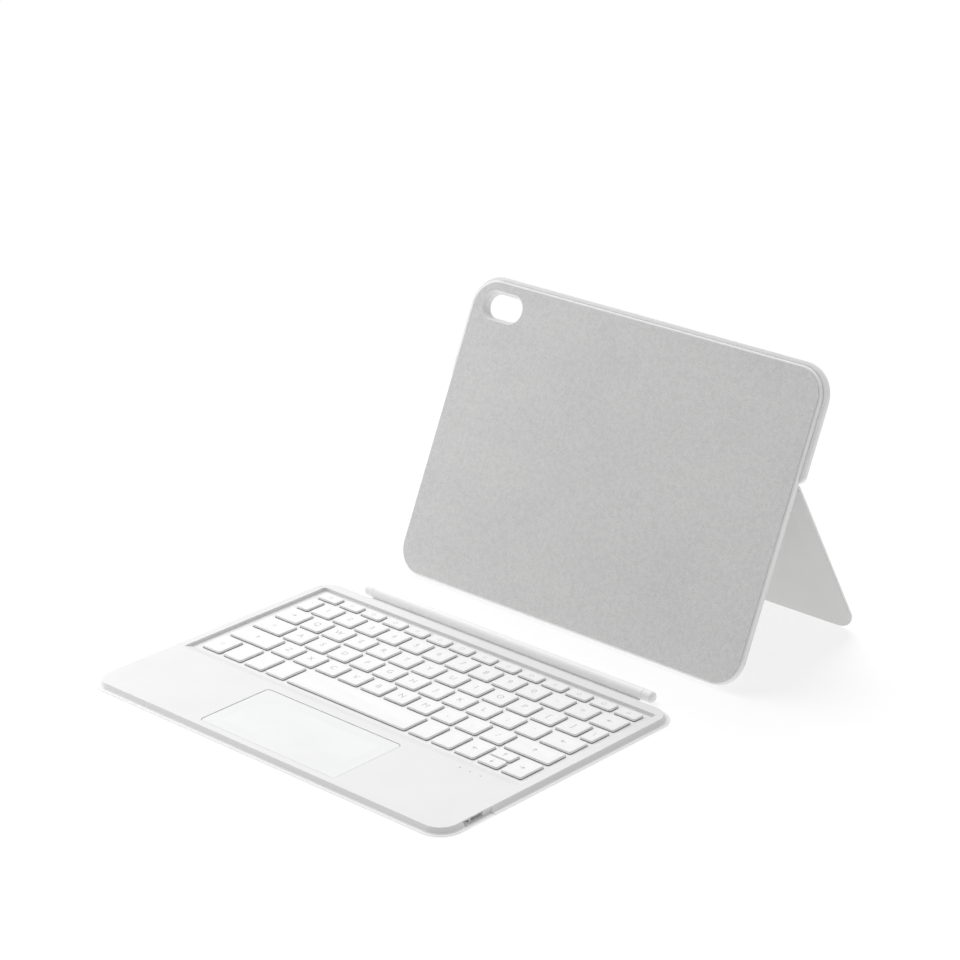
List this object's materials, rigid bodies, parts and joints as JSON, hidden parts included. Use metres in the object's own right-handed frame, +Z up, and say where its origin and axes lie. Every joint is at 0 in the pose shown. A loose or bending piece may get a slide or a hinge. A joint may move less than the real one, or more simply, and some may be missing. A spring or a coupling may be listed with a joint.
{
  "type": "tablet keyboard case",
  "caption": "Magnetic tablet case back with camera cut-out and fold-out kickstand, with a detachable slim keyboard, touchpad and round hinge bar.",
  "frame": {"origin": "on the table, under the centre of the whole assembly's box, with the case open on its kickstand and the keyboard laid in front", "axes": "+X to the typist's right, +Y away from the typist, +Z up"},
  "size_m": [0.2659, 0.3352, 0.1639],
  "materials": {
    "grey_suede": "brushed microfibre",
    "soft_white": "soft matte",
    "shell_white": "satin",
    "bezel_white": "satin",
    "stand_inner": "soft matte",
    "bar_white": "satin",
    "web_white": "matte",
    "deck_white": "fine matte grain",
    "keycap_white": "fine matte",
    "touchpad_white": "smooth satin",
    "steel": "brushed",
    "magnet": "nickel plated",
    "plate_aluminium": "satin",
    "membrane": "film",
    "dome_rubber": "matte",
    "battery_foil": "foil",
    "board_green": "solder mask",
    "switch_grey": "satin",
    "light_pipe": "clear"
  },
  "bodies": {
    "case": {"front_panel": "shell_white", "inner_lining": "grey_suede", "back_skin": "soft_white", "back_cover": "soft_white", "camera_bezel": "bezel_white", "tablet_magnets": "magnet", "magnet_shield": "steel", "dock_magnets": "magnet", "hinge_brackets": "steel", "hinge_pins": "steel", "bracket_screws": "steel"},
    "kickstand": {"kickstand_panel": "soft_white", "kickstand_lining": "stand_inner", "hinge_leaves": "steel", "leaf_screws": "steel", "closing_magnets": "magnet"},
    "dock_bar": {"bar_end_caps": "bar_white", "bar_magnets": "magnet"},
    "bar_sleeve": {"hinge_bar": "bar_white", "hinge_web": "web_white"},
    "keyboard": {"base_cover": "soft_white", "deck_cover": "deck_white", "web_tongue": "web_white", "key_support_plate": "plate_aluminium", "key_membrane": "membrane", "key_domes": "dome_rubber", "battery": "battery_foil", "main_board": "board_green", "usb_c_port": "bezel_white", "power_switch_housing": "switch_grey", "status_lights": "light_pipe", "touchpad_board": "board_green", "touchpad_switch": "steel"},
    "touchpad": {"touchpad": "touchpad_white"},
    "power_slider": {"power_slider": "switch_grey"},
    "escape_key": {"escape_key": "keycap_white"},
    "function_keys": {"function_keys": "keycap_white"},
    "lock_key": {"lock_key": "keycap_white"},
    "number_keys": {"number_keys": "keycap_white"},
    "backspace_key": {"backspace_key": "keycap_white"},
    "tab_key": {"tab_key": "keycap_white"},
    "upper_letter_keys": {"upper_letter_keys": "keycap_white"},
    "backslash_key": {"backslash_key": "keycap_white"},
    "caps_lock_key": {"caps_lock_key": "keycap_white"},
    "home_letter_keys": {"home_letter_keys": "keycap_white"},
    "enter_key": {"enter_key": "keycap_white"},
    "left_shift_key": {"left_shift_key": "keycap_white"},
    "lower_letter_keys": {"lower_letter_keys": "keycap_white"},
    "right_shift_key": {"right_shift_key": "keycap_white"},
    "fn_key": {"fn_key": "keycap_white"},
    "control_key": {"control_key": "keycap_white"},
    "left_alt_key": {"left_alt_key": "keycap_white"},
    "left_meta_key": {"left_meta_key": "keycap_white"},
    "space_bar": {"space_bar": "keycap_white"},
    "right_meta_key": {"right_meta_key": "keycap_white"},
    "right_alt_key": {"right_alt_key": "keycap_white"},
    "left_arrow_key": {"left_arrow_key": "keycap_white"},
    "up_arrow_key": {"up_arrow_key": "keycap_white"},
    "down_arrow_key": {"down_arrow_key": "keycap_white"},
    "right_arrow_key": {"right_arrow_key": "keycap_white"}
  },
  "joints": [
    {"name": "kickstand_fold", "type": "hinge", "parent": "case", "child": "kickstand", "pos_m": [0.00585, 0.10693, 0.10314], "axis": [1, 0, 0], "range_deg": [-54.6, 65]},
    {"name": "keyboard_dock", "type": "slide", "parent": "case", "child": "dock_bar", "axis": [0.1738, 0.9848, 0], "range_m": [0, 0.03337]},
    {"name": "sleeve_turn", "type": "hinge", "parent": "dock_bar", "child": "bar_sleeve", "pos_m": [0.00005, 0.01918, 0.0032], "axis": [-1, 0, 0], "range_deg": [0, 58]},
    {"name": "web_fold", "type": "hinge", "parent": "bar_sleeve", "child": "keyboard", "pos_m": [0.00005, 0.01568, 0.00085], "axis": [-1, 0, 0], "range_deg": [0, 56]},
    {"name": "touchpad_click", "type": "slide", "parent": "keyboard", "child": "touchpad", "axis": [0, 0, -1], "range_m": [0, 0.0003], "stiffness_N_per_m": 3000},
    {"name": "power_slide", "type": "slide", "parent": "keyboard", "child": "power_slider", "axis": [0, 1, 0], "range_m": [0, 0.002]},
    {"name": "press_escape_key", "type": "slide", "parent": "keyboard", "child": "escape_key", "axis": [0, 0, -1], "range_m": [0, 0.0009], "stiffness_N_per_m": 500},
    {"name": "press_function_keys", "type": "slide", "parent": "keyboard", "child": "function_keys", "axis": [0, 0, -1], "range_m": [0, 0.0009], "stiffness_N_per_m": 500},
    {"name": "press_lock_key", "type": "slide", "parent": "keyboard", "child": "lock_key", "axis": [0, 0, -1], "range_m": [0, 0.0009], "stiffness_N_per_m": 500},
    {"name": "press_number_keys", "type": "slide", "parent": "keyboard", "child": "number_keys", "axis": [0, 0, -1], "range_m": [0, 0.0009], "stiffness_N_per_m": 500},
    {"name": "press_backspace_key", "type": "slide", "parent": "keyboard", "child": "backspace_key", "axis": [0, 0, -1], "range_m": [0, 0.0009], "stiffness_N_per_m": 500},
    {"name": "press_tab_key", "type": "slide", "parent": "keyboard", "child": "tab_key", "axis": [0, 0, -1], "range_m": [0, 0.0009], "stiffness_N_per_m": 500},
    {"name": "press_upper_letter_keys", "type": "slide", "parent": "keyboard", "child": "upper_letter_keys", "axis": [0, 0, -1], "range_m": [0, 0.0009], "stiffness_N_per_m": 500},
    {"name": "press_backslash_key", "type": "slide", "parent": "keyboard", "child": "backslash_key", "axis": [0, 0, -1], "range_m": [0, 0.0009], "stiffness_N_per_m": 500},
    {"name": "press_caps_lock_key", "type": "slide", "parent": "keyboard", "child": "caps_lock_key", "axis": [0, 0, -1], "range_m": [0, 0.0009], "stiffness_N_per_m": 500},
    {"name": "press_home_letter_keys", "type": "slide", "parent": "keyboard", "child": "home_letter_keys", "axis": [0, 0, -1], "range_m": [0, 0.0009], "stiffness_N_per_m": 500},
    {"name": "press_enter_key", "type": "slide", "parent": "keyboard", "child": "enter_key", "axis": [0, 0, -1], "range_m": [0, 0.0009], "stiffness_N_per_m": 500},
    {"name": "press_left_shift_key", "type": "slide", "parent": "keyboard", "child": "left_shift_key", "axis": [0, 0, -1], "range_m": [0, 0.0009], "stiffness_N_per_m": 500},
    {"name": "press_lower_letter_keys", "type": "slide", "parent": "keyboard", "child": "lower_letter_keys", "axis": [0, 0, -1], "range_m": [0, 0.0009], "stiffness_N_per_m": 500},
    {"name": "press_right_shift_key", "type": "slide", "parent": "keyboard", "child": "right_shift_key", "axis": [0, 0, -1], "range_m": [0, 0.0009], "stiffness_N_per_m": 500},
    {"name": "press_fn_key", "type": "slide", "parent": "keyboard", "child": "fn_key", "axis": [0, 0, -1], "range_m": [0, 0.0009], "stiffness_N_per_m": 500},
    {"name": "press_control_key", "type": "slide", "parent": "keyboard", "child": "control_key", "axis": [0, 0, -1], "range_m": [0, 0.0009], "stiffness_N_per_m": 500},
    {"name": "press_left_alt_key", "type": "slide", "parent": "keyboard", "child": "left_alt_key", "axis": [0, 0, -1], "range_m": [0, 0.0009], "stiffness_N_per_m": 500},
    {"name": "press_left_meta_key", "type": "slide", "parent": "keyboard", "child": "left_meta_key", "axis": [0, 0, -1], "range_m": [0, 0.0009], "stiffness_N_per_m": 500},
    {"name": "press_space_bar", "type": "slide", "parent": "keyboard", "child": "space_bar", "axis": [0, 0, -1], "range_m": [0, 0.0009], "stiffness_N_per_m": 500},
    {"name": "press_right_meta_key", "type": "slide", "parent": "keyboard", "child": "right_meta_key", "axis": [0, 0, -1], "range_m": [0, 0.0009], "stiffness_N_per_m": 500},
    {"name": "press_right_alt_key", "type": "slide", "parent": "keyboard", "child": "right_alt_key", "axis": [0, 0, -1], "range_m": [0, 0.0009], "stiffness_N_per_m": 500},
    {"name": "press_left_arrow_key", "type": "slide", "parent": "keyboard", "child": "left_arrow_key", "axis": [0, 0, -1], "range_m": [0, 0.0009], "stiffness_N_per_m": 500},
    {"name": "press_up_arrow_key", "type": "slide", "parent": "keyboard", "child": "up_arrow_key", "axis": [0, 0, -1], "range_m": [0, 0.0009], "stiffness_N_per_m": 500},
    {"name": "press_down_arrow_key", "type": "slide", "parent": "keyboard", "child": "down_arrow_key", "axis": [0, 0, -1], "range_m": [0, 0.0009], "stiffness_N_per_m": 500},
    {"name": "press_right_arrow_key", "type": "slide", "parent": "keyboard", "child": "right_arrow_key", "axis": [0, 0, -1], "range_m": [0, 0.0009], "stiffness_N_per_m": 500}
  ]
}
